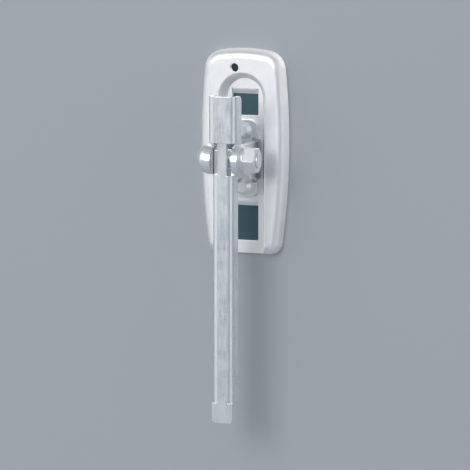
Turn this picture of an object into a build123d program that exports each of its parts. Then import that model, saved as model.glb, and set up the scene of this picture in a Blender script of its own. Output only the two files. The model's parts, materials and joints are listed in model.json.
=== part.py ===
from build123d import *
import os
from math import asin, cos, radians, sin, sqrt, tan

# Frame, in millimetres: X to the right, Y into the panel, +Z up.
# The origin lies on the plate's back face, on the centre line, midway between the two hooks.
# A stand-off is a distance in front of the panel's face, so it is a negative Y.

# Panel that the holder hangs on: square holes on a square pitch
hole_pitch = 38.0
hole_size = 10.0
panel_thickness = 1.5

# Pressed back plate
sheet = 1.5
top_reach = 10.5                 # plate's top edge above the centre of the upper hole
bottom_reach = 21.0              # plate's bottom edge below the centre of the lower hole
top_dome = 1.8                   # rise of the top edge from its corners to its middle
width_at_top = 26.8
width_at_bulge = 30.4
width_at_bottom = 24.6
bulge_level = -4.0
top_corner = 6.5
bottom_corner = 4.0
crown_height = 5.0               # stand-off of the raised bead
rim_radius = 3.0                 # rounding from the bead's crown to its rim
trough_angle = 23.0              # lean of the trough's walls
trough_margin = 0.6              # floor left free on each side of the saddle
trough_mouth_radius = 1.2
lock_hole = 3.0
lock_hole_offset = -2.7          # from the centre line
lock_hole_rise = 4.2             # above the centre of the upper hole

# Hook tongues, bent out of the tops of the windows
hook_side_play = 0.5             # between the tongue and the side of the panel's hole
hook_panel_play = 0.3            # between the panel's back and the hook's leg
hook_bend = 0.5                  # inner radius
hook_root_land = 3.5             # flat floor above a tongue's bend
upper_leg_drop = 5.4
lower_leg_drop = 8.1
upper_window_height = 7.2
lower_window_height = 11.8
window_gap = 0.2                 # sheared gap beside a tongue
window_corner = 0.8

# Channel arm: a wide horn above the saddle's ears and a narrow arm below them
arm_sheet = 1.2
arm_bend = 0.8                   # inner radius
arm_width = 7.2
horn_width = 9.6
arm_depth = 6.0
arm_standoff = 25.0              # front face of the arm
horn_step = 0.7                  # the horn's web, half sheared, in front of the arm's
horn_height = 16.8
arm_drop = 86.6                  # from the ears' top edge to the lower end of the flanges
neck_width = 3.2                 # web between the two slits
neck_rise = 1.2                  # how far the slits run up into the horn's web
tongue_length = 6.8
tongue_corner = 1.2
horn_corner = 2.0                # rear upper corners of the horn's flanges
seat_play = 0.05                 # between the horn's shoulders and the ears

# Saddle bracket
saddle_sheet = 2.0
saddle_bend = 0.8                # inner radius
ear_play = 0.15                  # between an ear and the arm
ear_height = 9.6
ear_proud = 2.0                  # the ears' noses in front of the arm
ear_gusset = 3.9                 # extra depth of the ears at their root
gusset_length = 11.0
strap_width = 10.0
strap_corner = 3.0
strap_gap = 1.3                  # between the strap's ends and the windows
bend_relief = 0.9

# Cross screw with its nut, washer and spacer
screw_level = -6.0
screw_size = 5.0
screw_length = 17.0
head_diameter = 9.5
head_height = 4.8
head_edge = 2.1                  # straight side of the domed head
recess_span = 5.0
recess_width = 1.1
recess_depth = 1.7
nut_across_flats = 8.0
nut_height = 4.0
nut_bevel = 0.4                  # depth of the chamfer on the nut's corners
washer_diameter = 9.0
washer_height = 1.0
sleeve_wall = 0.75
hole_play = 0.15                 # radial, round the screw
thread_play = 0.05               # radial, between the screw and the plain bore of its nut
lug_setback = 2.2                # lugs' front edge behind the arm's front face
lug_land = 0.55                  # between the screw hole and the lugs' front edge
lug_rim = 0.2                    # the ears' outline beyond the lugs

# Saddle rivets
rivet_size = 3.5
rivet_head = 6.0
rivet_flat = 3.6                 # flat top of the head
rivet_head_height = 1.4
rivet_tail = 5.2
rivet_play = 0.05                # radial
rivet_inset = 3.5                # from the strap's ends

# Levels and stand-offs that follow from the sizes above
upper_hole = hole_pitch / 2
lower_hole = -hole_pitch / 2
upper_seat = upper_hole - hole_size / 2
lower_seat = lower_hole - hole_size / 2
plate_top = upper_hole + top_reach
plate_bottom = lower_hole - bottom_reach
tongue_width = hole_size - 2 * hook_side_play
window_width = tongue_width + 2 * window_gap
hook_root = sheet + hook_bend
trough_top = upper_seat + hook_root + hook_root_land

screw_hole = screw_size / 2 + hole_play
screw_standoff = arm_standoff - lug_setback - lug_land - screw_hole
ear_inner = arm_width / 2 + ear_play
ear_outer = ear_inner + saddle_sheet
nut_seat = ear_outer + washer_height
ear_top = screw_level + ear_height / 2
ear_bottom = screw_level - ear_height / 2
ear_front = arm_standoff + ear_proud
lug_radius = ear_height / 2 - lug_rim
horn_bottom = ear_top + seat_play
horn_top = ear_top + horn_height
flange_end = ear_top - arm_drop
arm_end = flange_end - tongue_length
trough_half = ear_outer + trough_margin
strap_top = upper_seat - upper_window_height - strap_gap
strap_bottom = lower_seat + hook_root + strap_gap
rivet_levels = (strap_top - rivet_inset, strap_bottom + rivet_inset)
saddle_face = sheet + saddle_sheet


def front_sketch(sketch, standoff=0.0):
    """Places a sketch drawn as X and Z in the plane at a stand-off; it extrudes towards the viewer."""
    return Plane.XZ.offset(standoff) * sketch


def block(x_range, standoff_range, z_range):
    """Straight block between two values on each axis, its depth given as stand-offs."""
    width = x_range[1] - x_range[0]
    depth = standoff_range[1] - standoff_range[0]
    height = z_range[1] - z_range[0]
    middle = ((x_range[0] + x_range[1]) / 2, -sum(standoff_range) / 2, (z_range[0] + z_range[1]) / 2)
    return Pos(*middle) * Box(width, depth, height)


def cross_bar(radius, x_low, x_high):
    """Round bar along X on the cross screw's axis."""
    start = Plane(origin=(x_low, -screw_standoff, screw_level), x_dir=(0, 1, 0), z_dir=(1, 0, 0))
    return extrude(start * Circle(radius), x_high - x_low)


def side_prism(face, x_low, x_high):
    """Extrudes a side view, drawn as stand-off and level, from one X to another."""
    plane = Plane(origin=(x_low, 0, 0), x_dir=(0, -1, 0), z_dir=(-1, 0, 0))
    return extrude(plane * face, -(x_high - x_low))


# Back plate


def plate_outline(inset=0.0):
    """Barrel outline with a gently domed top edge and rounded corners; inset draws it smaller all round."""
    top, middle, bottom = width_at_top / 2, width_at_bulge / 2, width_at_bottom / 2
    shoulder = plate_top - top_dome
    height = plate_top - plate_bottom
    outline = Pos(0, plate_bottom + inset + height / 2) * Rectangle(2 * width_at_bulge, height)
    arcs = [ThreePointArc((-top, shoulder), (0, plate_top), (top, shoulder))]
    for side in (-1, 1):
        arcs.append(ThreePointArc(
            (side * top, shoulder), (side * middle, bulge_level), (side * bottom, plate_bottom)))
    for arc in arcs:
        outline &= Pos(*arc.arc_center) * Circle(arc.radius - inset)
    outline = fillet(outline.vertices().group_by(Axis.Y)[-1], top_corner - inset)
    return fillet(outline.vertices().group_by(Axis.Y)[0], bottom_corner - inset)


def trough_form(half_width, floor):
    """Fills the trough forwards from a floor: round at the top, open at the bottom, walls leaning out."""
    depth = crown_height + sheet - floor
    mouth = half_width + depth * tan(radians(trough_angle))
    centre = trough_top - trough_half
    low = plate_bottom - crown_height
    section = make_face(Polyline(
        (-half_width, -floor),
        (half_width, -floor),
        (mouth, -floor - depth),
        (-mouth, -floor - depth),
        close=True,
    ))
    straight = extrude(Pos(0, 0, low) * section, centre - low)
    base = Plane(origin=(0, -floor, centre), x_dir=(1, 0, 0), z_dir=(0, -1, 0))
    return straight + base * Cone(half_width, mouth, depth, align=(Align.CENTER, Align.CENTER, Align.MIN))


def pressed_shell():
    """Sheet pressed into a horseshoe bead round the trough, hollow behind."""
    outer = extrude(front_sketch(plate_outline()), crown_height)
    outer = fillet(outer.faces().sort_by(Axis.Y)[0].edges(), rim_radius)
    trough = trough_form(trough_half, sheet)
    pressed = outer - trough
    mouth = new_edges(outer, trough, combined=pressed)
    pressed = fillet(mouth.group_by(Axis.Y)[0], trough_mouth_radius)
    hollow = extrude(front_sketch(plate_outline(sheet)), crown_height - sheet)
    bevel = (rim_radius - sheet) * (2 - sqrt(2))
    hollow = chamfer(hollow.faces().sort_by(Axis.Y)[0].edges(), bevel)
    lean = radians(trough_angle)
    back_half = trough_half + sheet * (1 / cos(lean) - tan(lean))
    return pressed - (hollow - trough_form(back_half, 0.0))


def window(seat, height):
    """Window under a hook, from the hook's lower face downwards, rounded at its lower corners."""
    shape = Pos(0, seat - height / 2) * Rectangle(window_width, height)
    shape = fillet(shape.vertices().group_by(Axis.Y)[0], window_corner)
    shape += Pos(0, seat + hook_root / 2) * Rectangle(window_width, hook_root)
    return extrude(front_sketch(shape), sheet)


def hook(seat, leg_drop):
    """Tongue bent back through the panel's hole, to rest on its lower edge, and down behind the panel."""
    leg = panel_thickness + hook_panel_play + sheet / 2
    path = FilletPolyline(
        (0, -sheet / 2, seat + hook_root + sheet),
        (0, -sheet / 2, seat + sheet / 2),
        (0, leg, seat + sheet / 2),
        (0, leg, seat - leg_drop),
        radius=hook_bend + sheet / 2,
    )
    section = Plane(origin=path @ 0, x_dir=(1, 0, 0), z_dir=path % 0) * Rectangle(tongue_width, sheet)
    return sweep(section, path)


def back_plate():
    plate = pressed_shell()
    plate -= window(upper_seat, upper_window_height)
    plate -= window(lower_seat, lower_window_height)
    plate += hook(upper_seat, upper_leg_drop)
    plate += hook(lower_seat, lower_leg_drop)
    lock = Pos(lock_hole_offset, upper_hole + lock_hole_rise) * Circle(lock_hole / 2)
    plate -= extrude(front_sketch(lock), crown_height)
    for level in rivet_levels:
        plate -= rivet_body(level, rivet_play)
    return plate


# Saddle bracket and its rivets


def rivet_body(level, grow=0.0):
    """Rivet from under its head to its flush countersunk tail; grow opens it to a hole."""
    shank, tail = rivet_size / 2 + grow, rivet_tail / 2 + grow
    half = Polyline(
        (0, 0),
        (tail, 0),
        (shank, sheet),
        (shank, saddle_face),
        (0, saddle_face),
        close=True,
    )
    turned = revolve(Plane.XY * make_face(half), Axis.Y)
    return Pos(0, 0, level) * Rot(180, 0, 0) * turned


def rivet(level):
    """Saddle rivet: countersunk tail, plain shank and a cone-shaped head on the saddle."""
    seat = Plane(origin=(0, -saddle_face, level), x_dir=(1, 0, 0), z_dir=(0, -1, 0))
    upright = (Align.CENTER, Align.CENTER, Align.MIN)
    return rivet_body(level) + seat * Cone(rivet_head / 2, rivet_flat / 2, rivet_head_height, align=upright)


def ear_outline():
    """Side view of the saddle: straight top edge, round nose, lower edge deepening to the root."""
    nose = ear_front - ear_height / 2
    root = ear_bottom - ear_gusset
    return make_face([
        Line((sheet, ear_top), (nose, ear_top)),
        ThreePointArc((nose, ear_top), (ear_front, screw_level), (nose, ear_bottom)),
        Line((nose, ear_bottom), (saddle_face + saddle_bend + gusset_length, ear_bottom)),
        Line((saddle_face + saddle_bend + gusset_length, ear_bottom), (saddle_face + saddle_bend, root)),
        Line((saddle_face + saddle_bend, root), (sheet, root)),
        Line((sheet, root), (sheet, ear_top)),
    ])


def saddle_bracket():
    """Folded saddle: a strap riveted to the trough floor, with two ears bent forwards from it."""
    root = ear_bottom - ear_gusset
    wall = ear_inner + saddle_sheet / 2
    fold = FilletPolyline(
        (-wall, -ear_front),
        (-wall, -sheet - saddle_sheet / 2),
        (wall, -sheet - saddle_sheet / 2),
        (wall, -ear_front),
        radius=saddle_bend + saddle_sheet / 2,
    )
    folded = extrude(Pos(0, 0, root) * trace(fold, saddle_sheet), ear_top - root)
    saddle = folded & side_prism(ear_outline(), -ear_outer, ear_outer)
    strap_height = strap_top - strap_bottom
    strap = RectangleRounded(strap_width, strap_height, strap_corner)
    strap = Pos(0, (strap_top + strap_bottom) / 2) * strap
    strap = extrude(front_sketch(strap, sheet), saddle_sheet)
    flat = ear_inner - saddle_bend
    for side in (-1, 1):
        edge = sorted((side * flat, side * ear_outer))
        strap -= block(edge, (sheet, saddle_face), (root - bend_relief, ear_top + bend_relief))
    saddle += strap
    saddle -= cross_bar(screw_hole, -ear_outer, ear_outer)
    for level in rivet_levels:
        saddle -= rivet_body(level, rivet_play)
    return saddle


# Channel arm


def channel(width, front, low, high):
    """Folded channel with its web at a stand-off in front and its flanges behind."""
    wall = width / 2 - arm_sheet / 2
    rear = arm_standoff - arm_depth
    fold = FilletPolyline(
        (-wall, -rear),
        (-wall, arm_sheet / 2 - front),
        (wall, arm_sheet / 2 - front),
        (wall, -rear),
        radius=arm_bend + arm_sheet / 2,
    )
    return extrude(Pos(0, 0, low) * trace(fold, arm_sheet), high - low)


def horn():
    """Wide upper end of the arm, open upwards, the flanges' rear upper corners rounded."""
    body = channel(horn_width, arm_standoff + horn_step, horn_bottom, horn_top)
    rear = body.edges().filter_by(Axis.X).group_by(Axis.Z)[-1].sort_by(Axis.Y)[-2:]
    return fillet(rear, horn_corner)


def screw_lugs():
    """Flange lugs round the cross screw, joined to the flanges below them."""
    inner = arm_width / 2 - arm_sheet
    front = arm_standoff - lug_setback
    shape = Pos(screw_standoff, screw_level) * Circle(lug_radius)
    low = ear_bottom - lug_radius
    rear = arm_standoff - arm_depth
    shape += Pos((front + rear) / 2, (low + screw_level) / 2) * Rectangle(front - rear, screw_level - low)
    shape &= Pos(front - 2 * lug_radius, screw_level) * Rectangle(4 * lug_radius, 6 * lug_radius)
    lugs = side_prism(shape, -arm_width / 2, -inner)
    return lugs + side_prism(shape, inner, arm_width / 2)


def drop_arm():
    """Horn, narrow arm and end tongue of one folded sheet, slit along both bends between the ears."""
    front, back = arm_standoff, arm_standoff - arm_sheet
    arm = horn()
    slit = (front - lug_setback, front + horn_step)
    arm -= block((-horn_width / 2, horn_width / 2), slit, (horn_bottom, horn_bottom + neck_rise))
    arm += channel(arm_width, front, flange_end, ear_bottom)
    arm += block((-neck_width / 2, neck_width / 2), (back, front), (ear_bottom, horn_bottom + neck_rise))
    arm += screw_lugs()
    tongue = Pos(0, (arm_end + flange_end) / 2) * Rectangle(arm_width, tongue_length)
    tongue = fillet(tongue.vertices().group_by(Axis.Y)[0], tongue_corner)
    arm += extrude(front_sketch(tongue, back), arm_sheet)
    return arm - cross_bar(screw_hole, -arm_width, arm_width)


# Cross screw and what is on it


def cross_screw():
    """Dome-headed screw from left to right, with a cross recess in its head."""
    seat = -ear_outer
    radius = head_diameter / 2
    rise = head_height - head_edge
    ball = (radius**2 + rise**2) / (2 * rise)
    half_angle = asin(radius / ball) / 2
    shoulder = (ball * sin(half_angle), head_height - ball + ball * cos(half_angle))
    profile = make_face([
        Line((0, 0), (radius, 0)),
        Line((radius, 0), (radius, head_edge)),
        ThreePointArc((radius, head_edge), shoulder, (0, head_height)),
        Line((0, head_height), (0, 0)),
    ])
    head = Rot(0, -90, 0) * revolve(Plane.XZ * profile, Axis.Z)
    for angle in (0, 90):
        slot = Box(2 * recess_depth, recess_span, recess_width)
        head -= Pos(-head_height, 0, 0) * Rot(angle, 0, 0) * slot
    screw = Pos(seat, -screw_standoff, screw_level) * head
    return screw + cross_bar(screw_size / 2, seat, seat + screw_length)


def nut_washer():
    ring = cross_bar(washer_diameter / 2, ear_outer, nut_seat)
    return ring - cross_bar(screw_hole, ear_outer, nut_seat)


def hex_nut():
    """Hexagon nut, its outer end chamfered to a round face."""
    start = Plane(origin=(nut_seat, -screw_standoff, screw_level), x_dir=(0, 1, 0), z_dir=(1, 0, 0))
    hexagon = RegularPolygon(nut_across_flats / 2, 6, major_radius=False)
    nut = extrude(start * hexagon, nut_height)
    flat = nut_across_flats / 2
    corner = flat / cos(radians(30))
    round_bar = cross_bar(corner, nut_seat, nut_seat + nut_height)
    rim = round_bar.edges().group_by(Axis.X)[-1]
    side = round_bar.faces().filter_by(GeomType.CYLINDER)[0]
    round_bar = chamfer(rim, nut_bevel, corner - flat, reference=side)
    return (nut & round_bar) - cross_bar(screw_size / 2 + thread_play, nut_seat, nut_seat + nut_height)


def spacer_sleeve():
    """Sleeve round the screw that fills the arm's channel from flange to flange."""
    half = arm_width / 2 - arm_sheet
    return cross_bar(screw_hole + sleeve_wall, -half, half) - cross_bar(screw_hole, -half, half)


parts = {
    "back_plate": back_plate(),
    "saddle_bracket": saddle_bracket(),
    "drop_arm": drop_arm(),
    "cross_screw": cross_screw(),
    "nut_washer": nut_washer(),
    "hex_nut": hex_nut(),
    "spacer_sleeve": spacer_sleeve(),
    "upper_rivet": rivet(rivet_levels[0]),
    "lower_rivet": rivet(rivet_levels[1]),
}

os.makedirs("parts", exist_ok=True)
for name, shape in parts.items():
    export_step(shape, f"parts/{name}.step")
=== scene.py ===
import json
from math import cos, radians, sin

import bpy
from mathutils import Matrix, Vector


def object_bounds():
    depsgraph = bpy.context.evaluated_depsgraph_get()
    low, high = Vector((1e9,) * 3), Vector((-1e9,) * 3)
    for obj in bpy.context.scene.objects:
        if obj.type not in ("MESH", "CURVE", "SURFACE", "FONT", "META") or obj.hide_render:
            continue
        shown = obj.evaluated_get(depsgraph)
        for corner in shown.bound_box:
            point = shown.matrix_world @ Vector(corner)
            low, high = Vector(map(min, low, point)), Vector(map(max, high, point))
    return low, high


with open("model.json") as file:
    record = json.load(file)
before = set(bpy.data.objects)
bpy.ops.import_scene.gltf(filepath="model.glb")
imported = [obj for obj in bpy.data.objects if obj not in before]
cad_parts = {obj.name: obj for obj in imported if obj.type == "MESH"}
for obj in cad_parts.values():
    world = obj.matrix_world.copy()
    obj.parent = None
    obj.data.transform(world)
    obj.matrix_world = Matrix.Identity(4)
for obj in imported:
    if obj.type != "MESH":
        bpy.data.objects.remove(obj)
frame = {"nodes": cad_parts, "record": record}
cad_low, cad_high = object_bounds()
scene = bpy.context.scene
scene.view_settings.view_transform = "Standard"

# Lengths are in metres: X to the right, Y to the rear and Z up, as in the CAD frame.

# Camera, at the photograph's viewing angle
view_azimuth = 19.4
view_elevation = 8.2
view_distance = 1.68
view_height = 0.158              # height of the frame at the object
sensor_width = 36.0              # millimetres
clip_near, clip_far = 0.05, 20.0

# Zinc: texture scales, per metre
cloud_scale = 260.0
blotch_scale = 70.0
hue_scale = (90.0, 90.0, 45.0)
speck_scale = 1400.0
grain_along_z = (2600.0, 2600.0, 130.0)
grain_round_x = (260.0, 2400.0, 2400.0)

# Zinc: how strongly each texture shows
noise_span = (0.3, 0.7)          # part of a noise texture's range that is used
hue_span = (0.4, 0.6)
cloud_share, blotch_share = 0.55, 0.45
tint_shares = (0.5, 0.05)        # on the dullest and the brightest blotches
speck_size = 0.12                # distance from a Voronoi point, in cells
speck_strength = 0.25
speck_shade = 0.7                # of the dull colour
cloud_roughness = 0.05
grain_roughness = 0.04
cloud_relief = 0.6               # against the grain's
relief_strength = 0.06
relief_depth = 0.00006

# Zinc: burnished edges
edge_samples = 6
edge_span = (0.9, 0.995)         # cosine between the rounded and the true normal
edge_strength = 0.6
edge_gain = 1.06                 # of the bright colour
edge_polish = 0.06               # taken off the roughness
sheet_edge, fastener_edge = 0.00018, 0.00012

# Finish of each material slot
finishes = {
    "zinc_sheet": {
        "dull": (0.84, 0.85, 0.87), "bright": (0.94, 0.96, 0.98),
        "tints": ((0.96, 0.93, 0.88), (0.91, 0.88, 0.94)),
        "roughness": 0.44, "grain_scale": grain_along_z, "edge_radius": sheet_edge,
    },
    "zinc_arm": {
        "dull": (0.79, 0.83, 0.85), "bright": (0.91, 0.95, 0.97),
        "tints": ((0.88, 0.89, 0.86), (0.80, 0.86, 0.90)),
        "roughness": 0.32, "grain_scale": grain_along_z, "edge_radius": sheet_edge,
    },
    "zinc_fastener": {
        "dull": (0.80, 0.83, 0.86), "bright": (0.94, 0.96, 0.98),
        "tints": ((0.90, 0.90, 0.88), (0.86, 0.90, 0.95)),
        "roughness": 0.36, "grain_scale": grain_round_x, "edge_radius": fastener_edge,
    },
}

# Stage: a pale wall at the plate's back, with a dark patch of painted shade behind the plate's windows, and
# a floor of the same colour
stage_colour = (0.42, 0.45, 0.48)
# painted shade: colour of the dark wall patch seen through the plate's windows and lock hole
painted_shade_colour = (0.075, 0.13, 0.155)
stage_reach = 0.030              # metal nearer to the stage than this doesn't mirror it
wall_y = 0.0001
wall_half = 1.2
floor_level = -0.50
floor_half = 5.0
# size of the painted shade patch on the wall, behind the plate
painted_shade_half = 0.008
painted_shade_low, painted_shade_high = -0.038, 0.0275

# World: a soft studio, lighter above, with a glow behind the wall that is strongest at the upper right
world_strength = 0.8
sky_low, sky_high = (0.42, 0.45, 0.48), (0.60, 0.62, 0.64)
glow_low, glow_high = (0.45, 0.47, 0.50), (1.25, 1.26, 1.27)
sky_span = (-0.5, 0.5)           # of a direction's Z
behind_span = (-0.15, 0.15)      # of its Y
rising_span = (-0.6, 0.0)        # of its Z
rightward_span = (-0.25, 0.3)    # of its X
glow_at_left = 0.55              # against 1 at the right

# Soft lamps, aimed at the object: place, width, height and watts
lamps = {
    "key": ((-0.28, -1.5, 0.62), 0.8, 0.8, 10.5),
    "left": ((-1.25, -0.60, 0.10), 1.9, 1.1, 3.2),
    "right": ((1.4, -0.45, 0.10), 1.2, 1.1, 1.9),
}


class Graph:
    """Short calls for the nodes of one tree. An input is a socket, a number, a vector or a colour."""

    def __init__(self, tree):
        self.tree = tree

    def feed(self, socket, value):
        """Links another socket, or sets a constant on the socket itself."""
        if isinstance(value, bpy.types.NodeSocket):
            self.tree.links.new(value, socket)
        elif socket.type == "RGBA":
            socket.default_value = (*value, 1.0)
        else:
            socket.default_value = value

    def add(self, kind, inputs=None, **settings):
        """New node. Its settings come first, because some of them change which inputs it has."""
        node = self.tree.nodes.new("ShaderNode" + kind)
        for name, value in settings.items():
            setattr(node, name, value)
        for key, value in (inputs or {}).items():
            self.feed(node.inputs[key], value)
        return node

    def math(self, operation, first, second):
        return self.add("Math", {0: first, 1: second}, operation=operation).outputs[0]

    def ramp(self, value, span, result):
        """Maps a value from one range to another, clamped at both ends."""
        limits = {"From Min": span[0], "From Max": span[1], "To Min": result[0], "To Max": result[1]}
        return self.add("MapRange", {"Value": value, **limits}).outputs[0]

    def noise(self, vector, scale, detail):
        inputs = {"Vector": vector, "Scale": scale, "Detail": detail}
        return self.add("TexNoise", inputs).outputs["Fac"]

    def stretched(self, vector, factors):
        return self.add("Mapping", {"Vector": vector, "Scale": factors}).outputs["Vector"]

    def mixed(self, factor, first, second):
        """Blend of two colours by a factor."""
        inputs = {"Factor": factor, "A": first, "B": second}
        return self.add("Mix", inputs, data_type="RGBA").outputs["Result"]


def new_material(name):
    material = bpy.data.materials.new(name)
    material.use_nodes = True
    material.node_tree.nodes.clear()
    return material, Graph(material.node_tree)


def zinc(name, dull, bright, tints, roughness, grain_scale, edge_radius):
    """Bright zinc plate: cloudy tinted passivation, fine rolling grain, small specks and burnished edges."""
    material, graph = new_material(name)
    place = graph.add("TexCoord").outputs["Object"]
    clouds = graph.noise(place, cloud_scale, detail=3.0)
    blotches = graph.noise(place, blotch_scale, detail=2.0)
    hue = graph.noise(graph.stretched(place, hue_scale), scale=1.0, detail=1.0)
    grain = graph.noise(graph.stretched(place, grain_scale), scale=1.0, detail=2.0)
    specks = graph.add("TexVoronoi", {"Vector": place, "Scale": speck_scale}).outputs["Distance"]

    rounded = graph.add("Bevel", {"Radius": edge_radius}, samples=edge_samples).outputs["Normal"]
    normal = graph.add("NewGeometry").outputs["Normal"]
    facing = graph.add("VectorMath", {0: rounded, 1: normal}, operation="DOT_PRODUCT").outputs["Value"]
    edge = graph.ramp(facing, edge_span, (1.0, 0.0))

    cloud_tone = graph.ramp(clouds, noise_span, (0.0, cloud_share))
    blotch_tone = graph.ramp(blotches, noise_span, (0.0, blotch_share))
    colour = graph.mixed(graph.math("ADD", cloud_tone, blotch_tone), dull, bright)
    tint = graph.mixed(graph.ramp(hue, hue_span, (0.0, 1.0)), *tints)
    colour = graph.mixed(graph.ramp(blotches, noise_span, tint_shares), colour, tint)
    speckle = graph.ramp(specks, (0.0, speck_size), (speck_strength, 0.0))
    colour = graph.mixed(speckle, colour, tuple(speck_shade * channel for channel in dull))
    burnish = graph.math("MULTIPLY", edge, edge_strength)
    colour = graph.mixed(burnish, colour, tuple(min(1.0, edge_gain * channel) for channel in bright))

    cloud_range = (roughness + cloud_roughness, roughness - cloud_roughness)
    cloud_rough = graph.ramp(clouds, noise_span, cloud_range)
    grain_rough = graph.ramp(grain, noise_span, (-grain_roughness, grain_roughness))
    rough = graph.math("ADD", cloud_rough, grain_rough)
    rough = graph.math("SUBTRACT", rough, graph.math("MULTIPLY", edge, edge_polish))

    relief = graph.add("Bump", {
        "Strength": relief_strength,
        "Distance": relief_depth,
        "Height": graph.math("ADD", grain, graph.math("MULTIPLY", clouds, cloud_relief)),
        "Normal": rounded,
    })
    shader = graph.add("BsdfPrincipled", {
        "Metallic": 1.0,
        "Base Color": colour,
        "Roughness": rough,
        "Normal": relief.outputs["Normal"],
    })
    graph.add("OutputMaterial", {"Surface": shader.outputs[0]})
    return material


def front_only(name, colour):
    """Matt stage finish that the camera, metal and glass see from its front only, so rear views stay open.

    Metal within stage_reach doesn't mirror it: the plate's back lies on the wall and would look black.
    """
    material, graph = new_material(name)
    path = graph.add("LightPath").outputs
    mirrored = graph.math("MAXIMUM", path["Is Glossy Ray"], path["Is Transmission Ray"])
    far = graph.math("GREATER_THAN", path["Ray Length"], stage_reach)
    seen = graph.math("MAXIMUM", path["Is Camera Ray"], graph.math("MULTIPLY", mirrored, far))
    front = graph.math("SUBTRACT", 1.0, graph.add("NewGeometry").outputs["Backfacing"])
    blend = graph.add("MixShader", {
        0: graph.math("MULTIPLY", front, seen),
        1: graph.add("BsdfTransparent").outputs[0],
        2: graph.add("BsdfDiffuse", {"Color": colour}).outputs[0],
    })
    graph.add("OutputMaterial", {"Surface": blend.outputs[0]})
    return material


def mesh_object(name, points, faces, material):
    mesh = bpy.data.meshes.new(name)
    mesh.from_pydata(points, [], faces)
    mesh.materials.append(material)
    made = bpy.data.objects.new(name, mesh)
    scene.collection.objects.link(made)
    return made


def soft_lamp(name, place, target, width, height, watts):
    lamp = bpy.data.lights.new(name, "AREA")
    lamp.shape = "RECTANGLE"
    lamp.size, lamp.size_y = width, height
    lamp.energy = watts
    made = bpy.data.objects.new(name, lamp)
    made.location = place
    made.rotation_euler = (Vector(target) - Vector(place)).to_track_quat("-Z", "Y").to_euler()
    scene.collection.objects.link(made)


# Materials of the holder
slots = {name: zinc(name, **finish) for name, finish in finishes.items()}
for entry in frame["record"]["subparts"]:
    node = frame["nodes"][entry["node"]]
    node.data.materials.clear()
    node.data.materials.append(slots[entry["material_slot"]])

# Stage: the wall is a grid of three by three faces, of which the middle one is dark with painted shade
pale_finish = front_only("stage_pale", stage_colour)
# painted shade: matt dark finish for the wall's middle face
painted_shade_finish = front_only("stage_painted_shade", painted_shade_colour)
columns = (-wall_half, -painted_shade_half, painted_shade_half, wall_half)
rows = (floor_level, painted_shade_low, painted_shade_high, wall_half)
wall_points = [(x, wall_y, z) for z in rows for x in columns]
wall_faces = []
for row in range(len(rows) - 1):
    for column in range(len(columns) - 1):
        corner = row * len(columns) + column
        wall_faces.append((corner, corner + 1, corner + 1 + len(columns), corner + len(columns)))
wall = mesh_object("stage_wall", wall_points, wall_faces, pale_finish)
wall.data.materials.append(painted_shade_finish)
wall.data.polygons[len(wall_faces) // 2].material_index = 1

floor_corners = ((-1, -1), (1, -1), (1, 1), (-1, 1))
floor_points = [(x * floor_half, y * floor_half, floor_level) for x, y in floor_corners]
floor = mesh_object("stage_floor", floor_points, [(0, 1, 2, 3)], pale_finish)

# Light
world = bpy.data.worlds.new("studio")
scene.world = world
world.use_nodes = True
graph = Graph(world.node_tree)
direction = graph.add("SeparateXYZ", {0: graph.add("TexCoord").outputs["Generated"]}).outputs
sky = graph.mixed(graph.ramp(direction["Z"], sky_span, (0.0, 1.0)), sky_low, sky_high)
rising = graph.ramp(direction["Z"], rising_span, (0.0, 1.0))
rightward = graph.ramp(direction["X"], rightward_span, (glow_at_left, 1.0))
glow = graph.mixed(graph.math("MULTIPLY", rising, rightward), glow_low, glow_high)
behind = graph.ramp(direction["Y"], behind_span, (0.0, 1.0))
background = world.node_tree.nodes["Background"]
graph.feed(background.inputs["Color"], graph.mixed(behind, sky, glow))
graph.feed(background.inputs["Strength"], world_strength)

middle = (cad_low + cad_high) / 2
for name, (place, width, height, watts) in lamps.items():
    soft_lamp(name, place, middle, width, height, watts)

# Camera
azimuth, elevation = radians(view_azimuth), radians(view_elevation)
back = Vector((sin(azimuth) * cos(elevation), -cos(azimuth) * cos(elevation), sin(elevation)))
camera_data = bpy.data.cameras.new("camera")
camera_data.sensor_width = sensor_width
camera_data.lens = sensor_width * view_distance / view_height
camera_data.clip_start, camera_data.clip_end = clip_near, clip_far
camera = bpy.data.objects.new("camera", camera_data)
camera.location = middle + back * view_distance
camera.rotation_euler = (-back).to_track_quat("-Z", "Y").to_euler()
scene.collection.objects.link(camera)
scene.camera = camera
